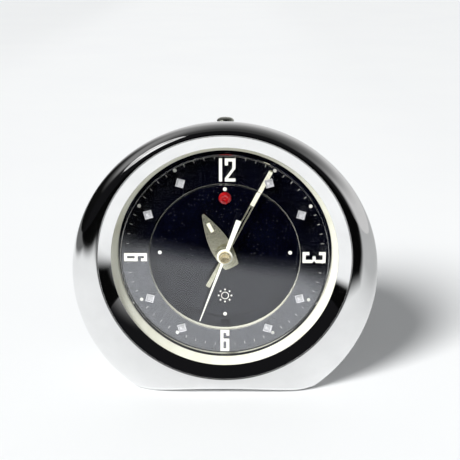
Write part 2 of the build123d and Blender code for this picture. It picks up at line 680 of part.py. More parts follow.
def alarm_bell():
    """Shallow gong, open towards the rear plate, on its own post."""
    cup = turned([(0, -30.2), (8.6, -30.2), (11.0, -28.0), (11.0, -26.0), (10.2, -26.0), (10.2, -27.7),
                  (8.2, -29.4), (0, -29.4)], BELL_AT)
    post = disc(1.5, -29.4, REAR_PLATE[0], BELL_AT) + disc(0.75, REAR_PLATE[0], REAR_PLATE[1] - 0.1, BELL_AT)
    return cup + post


# ---- stop button -------------------------------------------------------------------------
def button_bush():
    """Cup let into the case top, with a flange that lies along the falling surface."""
    seat = Pos(0, CASE_TOP, BUTTON_Z) * Rot(-90 - CASE_SLOPE, 0, 0)
    wall = upright(CUP_R, CUP_FLOOR - 0.8, 49, 0, BUTTON_Z) + seat * Cylinder(4.7, 0.6) - CASE_ABOVE_CUP
    bore = upright(CUP_R - 0.45, CUP_FLOOR, 51, 0, BUTTON_Z) + upright(1.3, CUP_FLOOR - 2, 48, 0, BUTTON_Z)
    return wall - bore - seat * Pos(0, 0, 5.3) * Cylinder(9, 10)


def stop_button():
    cap = Pos(0, 0, BUTTON_Z) * Rot(-90, 0, 0) * turned(
        [(0, SKIRT), (BUTTON_R, SKIRT), (BUTTON_R, BUTTON_TOP - 1.2), (3.0, BUTTON_TOP - 0.7),
         (2.2, BUTTON_TOP - 0.25), (1.1, BUTTON_TOP - 0.05), (0, BUTTON_TOP)])
    return cap + upright(1.2, 40.4, SKIRT + 0.1, 0, BUTTON_Z)


def stop_spring():
    """Three coils between the bush's floor and the button."""
    gap = SKIRT - CUP_FLOOR
    coils = [CUP_FLOOR + 0.25 + (gap - 0.5) * n / 3 for n in range(4)]
    rings = [Pos(0, y, BUTTON_Z) * Rot(90, 0, 0) * Torus(2.3, SPRING_WIRE) for y in coils]
    return Compound(children=rings)


def stop_rod():
    tab = block((-7.5, 39.6, -28.2), (1.5, 40.4, BUTTON_Z + 2))
    strip = block((-7.5, -20.0, -28.2), (-4.5, 40.4, -27.6))
    return tab + strip


# ---- rear --------------------------------------------------------------------------------
def regulator_lever():
    """Ring on the balance boss with an arm and a finger tab through the back cover."""
    ring = Circle(3.0) - Circle(1.15 + FIT)
    arm = Rot(0, 0, 30) * bar(-0.9, 2.6, 0.9, REGULATOR_R + 0.9)
    body = Pos(*BALANCE_AT) * (ring + arm)
    tab = disc(0.9, -33.4, -25.4, polar(REGULATOR_R, 120, BALANCE_AT))
    return plate(body, -26.0, -25.4) + tab


def regulator_slot():
    """Arc-shaped slot swept by the regulator's tab."""
    ends = [polar(REGULATOR_R, 120 + side * 24, BALANCE_AT) for side in (-1, 1)]
    outer, inner = REGULATOR_R + 1.3, REGULATOR_R - 1.3
    rim = [polar(r, 120 + side * 24, BALANCE_AT) for r in (outer, inner) for side in (-1, 0, 1)]
    edges = [ThreePointArc(rim[0], rim[1], rim[2]), Line(rim[2], rim[5]),
             ThreePointArc(rim[5], rim[4], rim[3]), Line(rim[3], rim[0])]
    slot = make_face(Curve() + edges)
    return plate(slot, COVER[0] - 2, COVER[1] + 1) + [disc(1.3, COVER[0] - 2, COVER[1] + 1, end) for end in ends]


def back_cover():
    low, high = COVER
    sheet = plate(Pos(0, -REAR_DROP) * Circle(REAR_R - WALL - 0.25), low, high)
    bead = turned([(43.2, low), (43.6, low - 0.6), (44.4, low - 0.6), (44.8, low)], (0, -REAR_DROP))
    pad = turned([(0, low), (0, low - 0.5), (7.5, low - 0.5), (8.2, low)], (0, -1.0))
    cover = (sheet + bead + pad) & base_cut(WALL + 0.25)
    holes = [disc(3.6, low - 3, high + 1, at) for at in (GREAT_AT, ALARM_GREAT_AT)]
    holes += [disc(1.6, low - 3, high + 1, at) for at in (HAND_SET_AT, ALARM_SET_AT)]
    holes += [disc(1.2, low - 3, high + 1, polar(PILLAR_R, a)) for a in PILLAR_ANGLES if a != SHORT_PILLAR]
    sound = [disc(0.9, low - 3, high + 1, polar(7.0, 60 * n, BELL_AT)) for n in range(6)]
    return cover - holes - sound - regulator_slot()


def back_cover_nuts():
    nuts = []
    for angle in PILLAR_ANGLES:
        if angle != SHORT_PILLAR:
            at = polar(PILLAR_R, angle)
            nuts.append(turned([(1.15, COVER[0]), (2.6, COVER[0]), (2.9, -32.0), (2.9, -33.0), (2.6, -33.4),
                                (1.15, -33.4)], at))
    return Compound(children=nuts)


# ---- every node --------------------------------------------------------------------------
NODES = {
    "case_shell": case_shell,
    "case_posts": case_posts,
    "bezel_ring": bezel_ring,
    "crystal": crystal,
    "rehaut_ring": rehaut_ring,
    "hour_markers": hour_markers,
    "chapter_numerals": chapter_numerals,
    "dial_plate": dial_plate,
    "dial_marks": dial_marks,
    "dial_jewel": dial_jewel,
    "hour_hand": hour_hand,
    "hour_hand_lume": hour_hand_lume,
    "minute_hand": minute_hand,
    "minute_hand_lume": minute_hand_lume,
    "second_hand": second_hand,
    "second_hand_cap": second_hand_cap,
    "alarm_hand": alarm_hand,
    "cannon_pinion": cannon_pinion,
    "minute_wheel": minute_wheel,
    "hour_wheel": hour_wheel,
    "alarm_wheel": alarm_wheel,
    "hand_set_arbor": lambda: set_arbor(HAND_SET_AT, 12, MOTION_M, -4.5, -3.6, HAND_SET_PHASE),
    "hand_set_knob": lambda: knob(HAND_SET_AT, 4.2, 16),
    "alarm_set_arbor": lambda: set_arbor(ALARM_SET_AT, 20, ALARM_M, -2.4, -1.4, ALARM_SET_PHASE),
    "alarm_set_knob": lambda: knob(ALARM_SET_AT, 3.8, 14),
    "movement_holder": movement_holder,
    "holder_screws": holder_screws,
    "front_plate": front_plate,
    "rear_plate": rear_plate,
    "plate_pillars": plate_pillars,
    "plate_spacers": plate_spacers,
    "plate_nuts": plate_nuts,
    "centre_wheel": centre_wheel,
    "third_wheel": third_wheel,
    "seconds_arbor": seconds_arbor,
    "fourth_wheel": fourth_wheel,
    "escape_wheel": escape_wheel,
    "pallet_lever": pallet_lever,
    "balance_wheel": balance_wheel,
    "hairspring": hairspring,
    "time_great_wheel": lambda: great_wheel(GREAT_AT, GREAT_M, GREAT_PHASE),
    "time_click": lambda: click(GREAT_AT, 100),
    "time_mainspring": time_mainspring,
    "time_winding_arbor": lambda: winding_arbor(GREAT_AT),
    "time_winding_key": lambda: winding_key(GREAT_AT, 90),
    "alarm_great_wheel": lambda: great_wheel(ALARM_GREAT_AT, ALARM_M, ALARM_GREAT_PHASE),
    "alarm_click": lambda: click(ALARM_GREAT_AT, 80),
    "alarm_mainspring": alarm_mainspring,
    "alarm_winding_arbor": lambda: winding_arbor(ALARM_GREAT_AT),
    "alarm_winding_key": lambda: winding_key(ALARM_GREAT_AT, 90),
    "alarm_escape_wheel": alarm_escape_wheel,
    "alarm_hammer": alarm_hammer,
    "alarm_bell": alarm_bell,
    "button_bush": button_bush,
    "stop_button": stop_button,
    "stop_spring": stop_spring,
    "stop_rod": stop_rod,
    "regulator_lever": regulator_lever,
    "back_cover": back_cover,
    "back_cover_nuts": back_cover_nuts,
}

os.makedirs("parts", exist_ok=True)
for name, build in NODES.items():
    save(name, build())
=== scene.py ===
import json
import math

import bpy
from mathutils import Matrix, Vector


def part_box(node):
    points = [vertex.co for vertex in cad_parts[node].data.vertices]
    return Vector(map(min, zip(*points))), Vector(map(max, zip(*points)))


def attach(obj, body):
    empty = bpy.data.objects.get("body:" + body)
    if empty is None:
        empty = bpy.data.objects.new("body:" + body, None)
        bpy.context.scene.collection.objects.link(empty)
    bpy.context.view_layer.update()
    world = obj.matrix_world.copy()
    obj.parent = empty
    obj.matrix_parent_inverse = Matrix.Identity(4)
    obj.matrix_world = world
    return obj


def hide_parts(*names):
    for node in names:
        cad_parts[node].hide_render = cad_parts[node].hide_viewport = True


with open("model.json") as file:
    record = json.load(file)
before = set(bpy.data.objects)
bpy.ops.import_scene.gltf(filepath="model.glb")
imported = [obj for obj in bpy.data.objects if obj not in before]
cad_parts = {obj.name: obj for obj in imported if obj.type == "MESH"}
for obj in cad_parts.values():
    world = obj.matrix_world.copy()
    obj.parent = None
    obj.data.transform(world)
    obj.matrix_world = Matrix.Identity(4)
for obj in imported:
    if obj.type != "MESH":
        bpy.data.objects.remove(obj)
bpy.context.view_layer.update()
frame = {"nodes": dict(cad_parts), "record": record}
NODES = frame["nodes"]

# ---- the face frame: origin on the dial at the hands' axis, x right, y up, z to the reader, in mm ----
MM = 0.001
DIAL_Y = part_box("dial_marks")[1].y
AXIS_Z = sum(corner.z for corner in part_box("second_hand_cap")) / 2


def place(x, y, z):
    """Row-frame point of a face-frame point given in millimetres."""
    return Vector((x * MM, DIAL_Y - z * MM, AXIS_Z + y * MM))


# ---- sizes shared with the CAD part, in mm ----
LIP_Z, LIP_R = 12.4, 47.7
LIP_PROFILE = [(47.0, 11.6), (47.0, 12.25), (47.05, 12.35), (47.2, LIP_Z)]     # (radius, z) into the opening
OUTLINE_R, OUTLINE_DROP, OUTLINE_Z = 57.6, 7.1, 4.0
REAR_R, REAR_DROP, REAR_Z = 52.4, 10.9, -31.6
WALL = 1.0
FLOOR_Y = -AXIS_Z / MM
ARCH_HALF, ARCH_RISE, CORNER_R = 27.5, 1.6, 3.8
CORNER_X = math.sqrt((OUTLINE_R - CORNER_R) ** 2 - (-FLOOR_Y - OUTLINE_DROP - CORNER_R) ** 2) + 0.1
CRYSTAL_FRONT, CRYSTAL_BACK, CRYSTAL_R = 9.4, 8.2, 43.4
BAND_BACK, BAND_IN, BAND_OUT = 5.0, 28.2, 38.8
FILM_Z = 4.4             # half-mirror film, just behind the numerals
MARKER_R = 32.6
JEWEL_Y = 21.4
HOUR_ANGLE, MINUTE_ANGLE, SECOND_ANGLE = -332.3, -27.6, -200.4
EDGE_REACH = 3.2         # how far the rounding of the base edge reaches on both sides
FLARE = math.radians(34)    # slope of the outline beyond the base's rounded corners


# ---- mesh building ----
def new_object(name, verts, faces, sharp=35.0):
    mesh = bpy.data.meshes.new(name)
    mesh.from_pydata([tuple(v) for v in verts], [], faces)
    mesh.update()
    mesh.shade_smooth()
    mesh.set_sharp_from_angle(angle=math.radians(sharp))
    obj = bpy.data.objects.new(name, mesh)
    bpy.context.scene.collection.objects.link(obj)
    return obj


def rounded(points, radii, steps=5):
    """Closed (r, z) profile with each corner turned into an arc of its own radius."""
    out = []
    count = len(points)
    for i, (point, radius) in enumerate(zip(points, radii)):
        here = Vector(point)
        before = Vector(points[i - 1]) - here
        after = Vector(points[(i + 1) % count]) - here
        if radius <= 0:
            out.append(tuple(here))
            continue
        reach = min(radius, 0.45 * before.length, 0.45 * after.length)
        start = here + before.normalized() * reach
        end = here + after.normalized() * reach
        for step in range(steps + 1):
            t = step / steps
            out.append(tuple(start * (1 - t) ** 2 + here * 2 * t * (1 - t) + end * t ** 2))
    return out


def lathe(name, profile, at=(0.0, 0.0), segments=256, sharp=35.0):
    """Closed profile of (radius, z) turned about the hands' axis; points on the axis close the ends."""
    verts, faces, rings = [], [], []
    for radius, z in profile:
        if radius < 1e-6:
            rings.append([len(verts)] * segments)
            verts.append(place(at[0], at[1], z))
            continue
        rings.append(list(range(len(verts), len(verts) + segments)))
        for k in range(segments):
            turn = 2 * math.pi * k / segments
            verts.append(place(at[0] + radius * math.cos(turn), at[1] + radius * math.sin(turn), z))
    for i, ring in enumerate(rings):
        following = rings[(i + 1) % len(rings)]
        for k in range(segments):
            m = (k + 1) % segments
            corners = [ring[k], ring[m], following[m], following[k]]
            face = [v for n, v in enumerate(corners) if v not in corners[:n]]
            if len(face) > 2:
                faces.append(face)
    return new_object(name, verts, faces, sharp)


# ---- case skin ----
def base_line(x, inset):
    """Height of the underside of the case at x: arch, flat strips, rounded corners, flare."""
    x = abs(x)
    floor = FLOOR_Y + inset
    corner = CORNER_X - inset
    if x < ARCH_HALF:
        sag = (ARCH_HALF ** 2 - ARCH_RISE ** 2) / (2 * ARCH_RISE) + ARCH_RISE
        return floor + ARCH_RISE - (sag - math.sqrt(sag ** 2 - x ** 2))
    if x < corner:
        return floor
    end = corner + CORNER_R * math.sin(FLARE)
    if x < end:
        return floor + CORNER_R - math.sqrt(CORNER_R ** 2 - (x - corner) ** 2)
    return floor + CORNER_R * (1 - math.cos(FLARE)) + (x - end) * math.tan(FLARE)


def case_circle(s, inset):
    """Radius, drop and z of the case's outline: s from 0 at the lip to 1 at the widest, then to 2."""
    if s <= 1:
        turn = s * math.pi / 2
        radius = LIP_R + (OUTLINE_R - LIP_R - inset) * math.sin(turn)
        return radius, OUTLINE_DROP * math.sin(turn), OUTLINE_Z + (LIP_Z - OUTLINE_Z - inset) * math.cos(turn)
    back = s - 1
    ease = back ** 1.5
    radius = OUTLINE_R - inset + (REAR_R - OUTLINE_R) * ease
    return radius, OUTLINE_DROP + (REAR_DROP - OUTLINE_DROP) * ease, OUTLINE_Z + (REAR_Z - OUTLINE_Z) * back


def eased(points, corner, reach, steps=8):
    """The same points with the corner rounded off over the given reach on both sides."""
    here = Vector(points[corner])
    before, after = corner - 1, corner + 1
    while before > 0 and (Vector(points[before]) - here).length < reach:
        before -= 1
    while after < len(points) - 1 and (Vector(points[after]) - here).length < reach:
        after += 1
    start, end = Vector(points[before]), Vector(points[after])
    start = here + (start - here) * min(1.0, reach / (start - here).length)
    end = here + (end - here) * min(1.0, reach / (end - here).length)
    curve = []
    for step in range(steps + 1):
        t = step / steps
        curve.append(tuple(start * (1 - t) ** 2 + here * 2 * t * (1 - t) + end * t ** 2))
    return points[:before + 1], curve, points[after:]


def resampled(head, curve, tail, dome_rings, rear_rings):
    """Fixed number of points on each stretch, so that neighbouring columns join."""
    def spread(run, count):
        lengths = [0.0]
        for a, b in zip(run, run[1:]):
            lengths.append(lengths[-1] + (Vector(b) - Vector(a)).length)
        out, n = [], 0
        for k in range(count + 1):
            want = lengths[-1] * k / count
            while n < len(run) - 2 and lengths[n + 1] < want:
                n += 1
            part = (want - lengths[n]) / max(1e-9, lengths[n + 1] - lengths[n])
            out.append(tuple(Vector(run[n]).lerp(Vector(run[n + 1]), min(1.0, max(0.0, part)))))
        return out
    return spread(head + [curve[0]], dome_rings)[:-1] + curve + spread([curve[-1]] + tail, rear_rings)[1:]


def case_column(turn, inset, dome_rings, rear_rings):
    """Points of one column from lip to rear, with the edge of the base rounded off."""
    def on_circle(s):
        radius, drop, z = case_circle(s, inset)
        return radius * math.cos(turn), -drop + radius * math.sin(turn), z

    def clearance(s):
        x, y, _ = on_circle(s)
        return y - base_line(x, inset)

    split = 1.0
    if clearance(1.0) < 0:
        low, high = 0.0, 1.0
        for _ in range(40):
            split = (low + high) / 2
            low, high = (split, high) if clearance(split) > 0 else (low, split)
    points = [on_circle(split * (n / dome_rings)) for n in range(dome_rings + 1)]
    edge_x = points[-1][0]
    for n in range(1, rear_rings + 1):
        s = split + (2 - split) * n / rear_rings
        x, y, z = on_circle(s)
        if y < base_line(x, inset):
            radius, drop, _ = case_circle(s, inset)
            reach = math.sqrt(max(0.0, radius ** 2 - (FLOOR_Y + inset + drop) ** 2))
            x = max(-reach, min(reach, edge_x))
            y = base_line(x, inset)
        points.append((x, y, z))
    reach = EDGE_REACH * min(1.0, 12 * (1.0 - split)) + 0.05
    return resampled(*eased(points, dome_rings, reach), dome_rings, rear_rings)


def case_skin():
    columns, dome_rings, rear_rings = 360, 26, 12
    verts, faces = [], []
    for k in range(columns):
        turn = 2 * math.pi * (k + 0.5) / columns
        outer = case_column(turn, 0.0, dome_rings, rear_rings)
        inner = case_column(turn, WALL, dome_rings, rear_rings)
        lip = [(r * math.cos(turn), r * math.sin(turn), z) for r, z in LIP_PROFILE]
        loop = lip + outer + inner[::-1]
        per_column = len(loop)
        verts += [place(*p) for p in loop]
    for k in range(columns):
        a, b = k * per_column, ((k + 1) % columns) * per_column
        for n in range(per_column):
            m = (n + 1) % per_column
            faces.append([a + n, b + n, b + m, a + m])
    return new_object("case_skin", verts, faces, 32.0)


# ---- flat pieces cut from an outline ----
def flat_curve(name, loops, low, high, edge, turn=0.0):
    """Outline loops in face-frame mm, thickened between two heights with a rounded edge."""
    curve = bpy.data.curves.new(name, "CURVE")
    curve.dimensions = "2D"
    curve.fill_mode = "BOTH"
    curve.bevel_depth = edge * MM
    curve.bevel_resolution = 3
    curve.offset = -edge * MM
    curve.extrude = ((high - low) / 2 - edge) * MM
    for loop in loops:
        spline = curve.splines.new("POLY")
        spline.points.add(len(loop) - 1)
        for point, (x, y) in zip(spline.points, loop):
            point.co = (x * MM, y * MM, 0, 1)
        spline.use_cyclic_u = True
    shell = bpy.data.objects.new(name + "_outline", curve)
    bpy.context.scene.collection.objects.link(shell)
    depsgraph = bpy.context.evaluated_depsgraph_get()
    mesh = bpy.data.meshes.new_from_object(shell.evaluated_get(depsgraph))
    bpy.data.objects.remove(shell)
    verts = []
    a = math.radians(turn)
    for v in mesh.vertices:
        x, y, z = v.co / MM
        spun = (x * math.cos(a) - y * math.sin(a), x * math.sin(a) + y * math.cos(a))
        verts.append(place(spun[0], spun[1], z + (low + high) / 2))
    faces = [list(p.vertices) for p in mesh.polygons]
    obj = new_object(name, verts, faces, 40.0)
    bpy.data.meshes.remove(mesh)
    return obj


def circle_loop(radius, at=(0.0, 0.0), count=64):
    turns = [2 * math.pi * k / count for k in range(count)]
    return [(at[0] + radius * math.cos(turn), at[1] + radius * math.sin(turn)) for turn in turns]


def bezier(points, steps=14):
    """Smooth run through points by Catmull-Rom segments."""
    out = []
    padded = [points[0]] + list(points) + [points[-1]]
    for i in range(1, len(padded) - 2):
        p0, p1, p2, p3 = (Vector(p) for p in padded[i - 1:i + 3])
        for step in range(steps):
            t = step / steps
            q = 0.5 * (2 * p1 + (p2 - p0) * t + (2 * p0 - 5 * p1 + 4 * p2 - p3) * t ** 2
                       + (3 * p1 - p0 - 3 * p2 + p3) * t ** 3)
            out.append((q.x, q.y))
    out.append(tuple(points[-1]))
    return out


def mirrored(right):
    """Closed loop from its right half, listed from the tail up to the tip."""
    return right + [(-x, y) for x, y in reversed(right) if abs(x) > 1e-6]


# ---- materials ----
class Graph:
    """Short ways to build a node tree."""

    def __init__(self, tree, coords):
        self.tree = tree
        self.coords = tree.nodes.new("ShaderNodeTexCoord").outputs[coords]

    def node(self, kind, **values):
        made = self.tree.nodes.new("ShaderNode" + kind)
        for key, value in values.items():
            setattr(made, key, value)
        return made

    def link(self, source, target):
        self.tree.links.new(source, target)

    def noise(self, scale, detail=4.0, rough=0.6, stretch=(1, 1, 1)):
        mapping = self.node("Mapping")
        mapping.inputs["Scale"].default_value = stretch
        texture = self.node("TexNoise")
        texture.inputs["Scale"].default_value = scale
        texture.inputs["Detail"].default_value = detail
        texture.inputs["Roughness"].default_value = rough
        self.link(self.coords, mapping.inputs["Vector"])
        self.link(mapping.outputs["Vector"], texture.inputs["Vector"])
        return texture.outputs["Fac"]

    def specks(self, scale, size):
        """1 inside scattered round specks, 0 elsewhere."""
        cells = self.node("TexVoronoi")
        cells.inputs["Scale"].default_value = scale
        self.link(self.coords, cells.inputs["Vector"])
        return self.ramp(cells.outputs["Distance"], [(0.0, 1.0), (size, 0.0)])

    def ramp(self, source, stops, smooth=False):
        """Colour ramp; a stop's value is a grey or a colour."""
        ramp = self.node("ValToRGB")
        ramp.color_ramp.interpolation = "EASE" if smooth else "LINEAR"
        while len(ramp.color_ramp.elements) < len(stops):
            ramp.color_ramp.elements.new(1.0)
        for element, (position, value) in zip(ramp.color_ramp.elements, stops):
            element.position = position
            element.color = (*value, 1.0) if isinstance(value, tuple) else (value, value, value, 1.0)
        self.link(source, ramp.inputs["Fac"])
        return ramp.outputs["Color"]

    def math(self, operation, *values):
        made = self.node("Math", operation=operation)
        for slot, value in zip(made.inputs, values):
            if isinstance(value, (int, float)):
                slot.default_value = value
            else:
                self.link(value, slot)
        return made.outputs["Value"]

    def line(self, along, slope, offset):
        return self.math("MULTIPLY_ADD", along, slope, offset)

    def step(self, source, low, high):
        """0 below low, 1 above high, eased in between; low may lie above high."""
        part = self.line(source, 1 / (high - low), -low / (high - low))
        return self.ramp(part, [(0.0, 0.0), (1.0, 1.0)], smooth=True)

    def axes(self):
        split = self.node("SeparateXYZ")
        self.link(self.coords, split.inputs["Vector"])
        return split.outputs["X"], split.outputs["Y"], split.outputs["Z"]

    def mix(self, factor, first, second):
        made = self.node("Mix", data_type="RGBA")
        for name, value in (("Factor", factor), ("A", first), ("B", second)):
            slot = made.inputs[name]
            if isinstance(value, (int, float)):
                slot.default_value = value
            elif isinstance(value, tuple):
                slot.default_value = (*value, 1.0)
            else:
                self.link(value, slot)
        return next(o for o in made.outputs if o.type == "RGBA")


class Shader(Graph):
    """A material with a Principled shader."""

    def __init__(self, name, color=(0.8, 0.8, 0.8), metallic=0.0, roughness=0.4, **sockets):
        self.material = bpy.data.materials.new(name)
        self.material.use_nodes = True
        super().__init__(self.material.node_tree, "Object")
        self.bsdf = self.tree.nodes["Principled BSDF"]
        self.bsdf.inputs["Base Color"].default_value = (*color, 1.0)
        self.bsdf.inputs["Metallic"].default_value = metallic
        self.bsdf.inputs["Roughness"].default_value = roughness
        for socket, value in sockets.items():
            self.bsdf.inputs[socket.replace("_", " ")].default_value = value

    def axis_radius(self):
        """Distance from the hands' axis in millimetres."""
        x, _, z = self.axes()
        height = self.math("SUBTRACT", z, AXIS_Z)
        square = self.math("ADD", self.math("MULTIPLY", x, x), self.math("MULTIPLY", height, height))
        return self.math("MULTIPLY", self.math("SQRT", square), 1000.0)

    def color(self, source):
        self.link(source, self.bsdf.inputs["Base Color"])
        return self

    def roughness(self, source, low, high):
        self.link(self.ramp(source, [(0.3, low), (0.7, high)]), self.bsdf.inputs["Roughness"])
        return self

    def bump(self, source, distance_mm, strength=1.0):
        made = self.node("Bump")
        made.inputs["Distance"].default_value = distance_mm * MM
        made.inputs["Strength"].default_value = strength
        self.link(source, made.inputs["Height"])
        previous = self.bsdf.inputs["Normal"]
        if previous.is_linked:
            self.link(previous.links[0].from_socket, made.inputs["Normal"])
        self.link(made.outputs["Normal"], self.bsdf.inputs["Normal"])
        return self


def chrome(name, tone=0.92, low=0.02, high=0.07):
    """Polished plate: faint waviness, hazy patches and fine dust."""
    m = Shader(name, (tone, tone, tone * 1.01), metallic=1.0)
    haze = m.noise(90, 6)
    grain = m.noise(2600, 2)
    dust = m.specks(1500, 0.16)
    clean = m.mix(m.ramp(haze, [(0.35, 0.0), (0.75, 1.0)]), (tone,) * 3, (tone * 0.93,) * 3)
    m.color(m.mix(dust, clean, (0.75,) * 3))
    m.roughness(m.math("ADD", m.math("MULTIPLY", haze, 0.6), m.math("MULTIPLY", grain, 0.4)), low, high)
    return m.bump(grain, 0.0006).bump(m.noise(45, 2), 0.006).material


def silvered(name):
    """Silver paint behind the crystal: part mirror, part matt, slightly grainy."""
    m = Shader(name, (0.8, 0.8, 0.82), metallic=0.55)
    grain = m.noise(1500, 4)
    m.color(m.mix(m.ramp(grain, [(0.4, 0.0), (0.7, 1.0)]), (0.86, 0.86, 0.88), (0.66, 0.66, 0.68)))
    m.roughness(grain, 0.12, 0.3)
    return m.bump(grain, 0.002).material


def brushed(name, color, low=0.22, high=0.4, stretch=(1, 1, 12), scale=700):
    """Rolled or turned metal with fine directional lines and slight tarnish."""
    m = Shader(name, color, metallic=1.0)
    lines = m.noise(scale, 3, 0.6, stretch)
    tarnish = m.noise(110, 5)
    dull = tuple(c * 0.72 for c in color)
    m.color(m.mix(m.ramp(tarnish, [(0.42, 0.0), (0.72, 1.0)]), color, dull))
    m.roughness(m.math("ADD", m.math("MULTIPLY", lines, 0.5), m.math("MULTIPLY", tarnish, 0.5)), low, high)
    return m.bump(lines, 0.002).material


def dial_lacquer():
    """Gloss blue-black lacquer with a little dust."""
    m = Shader("dial_lacquer", (0.004, 0.005, 0.014), roughness=0.03, Specular_IOR_Level=0.75,
               Specular_Tint=(0.86, 0.90, 1.0, 1.0))
    dust = m.specks(900, 0.09)
    cloud = m.noise(140, 6)
    tint = m.mix(m.ramp(cloud, [(0.4, 0.0), (0.8, 1.0)]), (0.0004, 0.0005, 0.0025), (0.0012, 0.0016, 0.0065))
    m.color(m.mix(dust, tint, (0.5, 0.5, 0.5)))
    m.roughness(cloud, 0.015, 0.05)
    return m.bump(m.noise(60, 2), 0.002).material


def crystal_glass():
    """Clear moulded plastic with dust and hairline scratches."""
    m = Shader("crystal_clear", (1.0, 1.0, 1.0), roughness=0.0, IOR=1.49, Transmission_Weight=1.0)
    scratch = m.noise(260, 5, 0.8, (1, 1, 9))
    smudge = m.noise(60, 4)
    m.roughness(m.math("MULTIPLY", smudge, scratch), 0.0, 0.05)
    return m.bump(m.noise(30, 1), 0.0015).material


def band_film():
    """Thin half-mirror film behind the numerals."""
    m = Shader("band_film", (0.85, 0.87, 0.92), metallic=1.0, roughness=0.06, Alpha=0.13)
    cloud = m.noise(90, 5)
    m.color(m.mix(cloud, (0.80, 0.82, 0.88), (0.90, 0.92, 0.97)))
    m.roughness(cloud, 0.03, 0.09)
    return m.bump(m.noise(80, 2), 0.003).material


def plastic(name, color, shade, low=0.3, high=0.45, grain=0.003):
    """Moulded or painted surface with slight yellowing and a fine skin."""
    m = Shader(name, color)
    cloud = m.noise(120, 5)
    m.color(m.mix(m.ramp(cloud, [(0.4, 0.0), (0.75, 1.0)]), color, shade))
    m.roughness(cloud, low, high)
    return m.bump(m.noise(1800, 3), grain).material


def hand_metal():
    """Aged nickel on the hands: brushed along, olive tarnish, brighter where rubbed."""
    m = Shader("hand_nickel", (0.85, 0.83, 0.66), metallic=0.88)
    lines = m.noise(1600, 3, 0.6, (6, 1, 1))
    spots = m.noise(420, 5)
    m.color(m.mix(m.ramp(spots, [(0.38, 0.0), (0.68, 1.0)]), (0.87, 0.85, 0.68), (0.74, 0.73, 0.54)))
    m.roughness(m.math("ADD", m.math("MULTIPLY", lines, 0.5), m.math("MULTIPLY", spots, 0.5)), 0.12, 0.26)
    return m.bump(lines, 0.002).material


def turned_brass():
    """Lathe-turned cap: rings about the hands' axis."""
    m = Shader("hand_brass", (0.92, 0.80, 0.52), metallic=0.85)
    rings = m.math("SINE", m.math("MULTIPLY", m.axis_radius(), 62.0))
    patina = m.noise(900, 4)
    m.color(m.mix(m.ramp(patina, [(0.4, 0.0), (0.7, 1.0)]), (0.96, 0.86, 0.60), (0.84, 0.68, 0.38)))
    m.roughness(patina, 0.18, 0.34)
    return m.bump(rings, 0.004).material


def jewel_red():
    m = Shader("jewel_red", (0.55, 0.008, 0.012), roughness=0.05, IOR=1.55,
               Transmission_Weight=0.35, Coat_Weight=0.6)
    depth = m.noise(700, 3)
    m.color(m.mix(m.ramp(depth, [(0.35, 0.0), (0.7, 1.0)]), (0.62, 0.01, 0.015), (0.22, 0.002, 0.004)))
    m.roughness(depth, 0.03, 0.12)
    return m.material


MATERIALS = {
    "chrome_case": chrome("chrome_case", 0.85, 0.03, 0.09),
    "chrome_bezel": chrome("chrome_bezel", 0.93, 0.02, 0.06),
    "crystal": crystal_glass(),
    "band_film": band_film(),
    "cream_plastic": plastic("cream_plastic", (0.80, 0.80, 0.68), (0.70, 0.69, 0.54), 0.25, 0.4),
    "faceted_silver": silvered("faceted_silver"),
    "white_print": plastic("white_print", (0.86, 0.86, 0.80), (0.74, 0.73, 0.64), 0.35, 0.5),
    "dial_lacquer": dial_lacquer(),
    "red_jewel": jewel_red(),
    "hand_nickel": hand_metal(),
    "lume": plastic("lume", (0.85, 0.84, 0.68), (0.74, 0.72, 0.52), 0.6, 0.8, grain=0.012),
    "hand_white": plastic("hand_white", (0.88, 0.88, 0.80), (0.80, 0.79, 0.68), 0.25, 0.4),
    "hand_brass": turned_brass(),
    "movement_brass": brushed("movement_brass", (0.80, 0.60, 0.26)),
    "movement_steel": brushed("movement_steel", (0.60, 0.60, 0.60)),
    "blued_steel": brushed("blued_steel", (0.10, 0.13, 0.22)),
    "cover_steel": brushed("cover_steel", (0.72, 0.72, 0.71), 0.12, 0.26, (1, 1, 1), 300),
    "knob_brass": brushed("knob_brass", (0.80, 0.64, 0.34), 0.16, 0.3),
    "button_metal": brushed("button_metal", (0.50, 0.51, 0.45), 0.2, 0.38, (1, 1, 1)),
}
SLOT_OF = {entry["node"]: entry["material_slot"] for entry in frame["record"]["subparts"]}
for node_name, node_object in NODES.items():
    node_object.data.materials.clear()
    node_object.data.materials.append(MATERIALS[SLOT_OF[node_name]])


def finish_piece(piece, body, slot, *stands_for):
    piece.data.materials.clear()
    piece.data.materials.append(MATERIALS[slot])
    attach(piece, body)
    if stands_for:
        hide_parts(*stands_for)
    return piece


